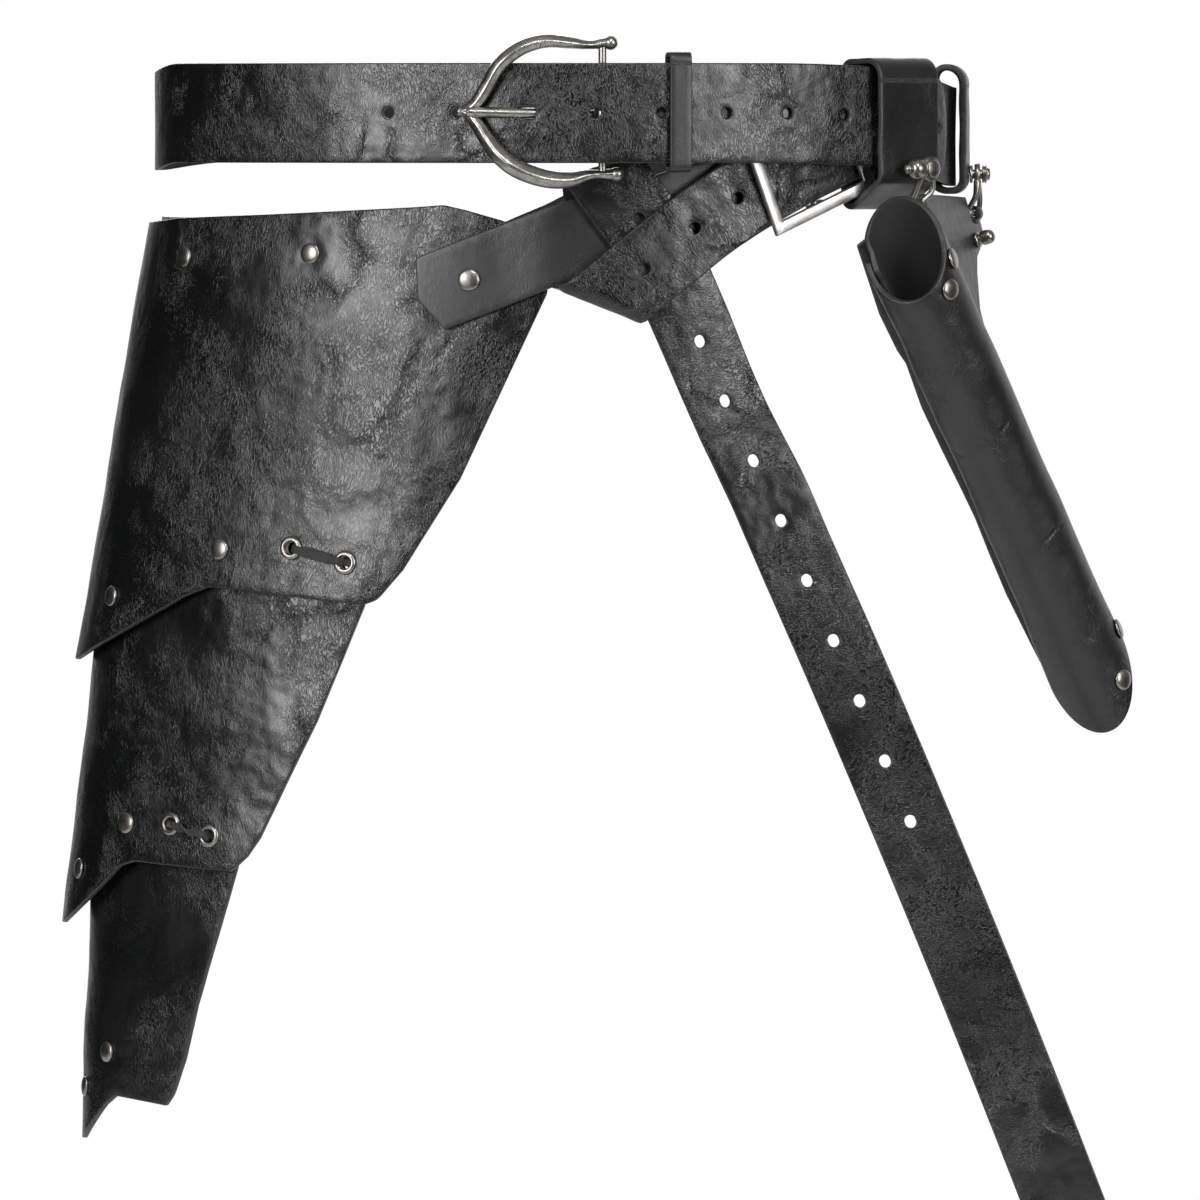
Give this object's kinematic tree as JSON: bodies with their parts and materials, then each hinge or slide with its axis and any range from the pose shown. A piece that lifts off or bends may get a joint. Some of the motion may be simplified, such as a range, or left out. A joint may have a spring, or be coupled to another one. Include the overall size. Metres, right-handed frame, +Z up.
{
  "type": "thigh armour",
  "caption": "Black leather thigh armour: three riveted, laced plates on a waist belt and a knotted hip belt, with a sword frog on the other hip.",
  "frame": {"origin": "middle of the waist opening, at half the height of the waist belt", "axes": "+Z up along the wearer, -Y to the front, +X to the wearer's left, the side of the sword frog"},
  "size_m": [0.5434, 0.285, 0.6475],
  "materials": {
    "leather": "grained, semi-gloss black",
    "pewter": "antique cast pewter",
    "satin_steel": "bright satin",
    "nickel": "satin nickel",
    "lace": "braided black"
  },
  "bodies": {
    "belts": {"waist_belt": "leather", "hip_belt": "leather", "hip_front_strap": "leather", "hip_knot": "leather", "upper_plate": "leather", "upper_plate_runners": "leather", "frog_front_loop": "leather", "frog_rear_loop": "leather", "waist_buckle_frame": "pewter", "waist_buckle_prong": "pewter", "hip_buckle_frame": "satin_steel", "hip_buckle_bar": "satin_steel", "waist_buckle_bar": "satin_steel", "waist_belt_fold_rivets": "nickel", "hip_front_strap_rivet": "nickel", "upper_plate_belt_rivets": "nickel", "upper_plate_hinge_rivets": "nickel", "upper_plate_eyelets": "nickel", "frog_front_post": "nickel", "frog_rear_post": "nickel", "frog_front_link": "nickel", "frog_rear_link": "nickel", "upper_plate_lace": "lace"},
    "keeper": {"waist_keeper": "leather"},
    "middle": {"middle_plate": "leather", "middle_plate_hinge_rivets": "nickel", "middle_plate_runners": "leather", "middle_plate_eyelets": "nickel", "middle_plate_lace": "lace"},
    "lower": {"lower_plate": "leather", "lower_plate_rivets": "nickel", "lower_plate_runners": "leather"},
    "tail": {"hip_tail": "leather"},
    "frog": {"frog_tube": "leather", "frog_back_panel": "leather", "frog_tube_rivets": "nickel", "frog_stud": "nickel"}
  },
  "joints": [
    {"name": "keeper_slide_round", "type": "hinge", "parent": "belts", "child": "keeper", "pos_m": [0, 0.1071, 0], "axis": [0, 0, 1], "range_deg": [-2, 6]},
    {"name": "middle_plate_flex", "type": "hinge", "parent": "belts", "child": "middle", "pos_m": [-0.16705, -0.06083, -0.2185], "axis": [0.7147, -0.6137, 0.3354], "range_deg": [-5, 1.5]},
    {"name": "lower_plate_flex", "type": "hinge", "parent": "middle", "child": "lower", "pos_m": [-0.21306, -0.02705, -0.358], "axis": [0.5228, -0.6379, 0.5655], "range_deg": [-5, 3]},
    {"name": "tail_swing", "type": "hinge", "parent": "belts", "child": "tail", "pos_m": [0.06669, -0.11208, -0.10705], "axis": [0.8692, 0.2644, 0.4179], "range_deg": [-40, 0]},
    {"name": "frog_swing", "type": "hinge", "parent": "belts", "child": "frog", "pos_m": [0.178, -0.081, -0.046], "axis": [0.3496, 0.9358, -0.0451], "range_deg": [-30, 0]}
  ]
}
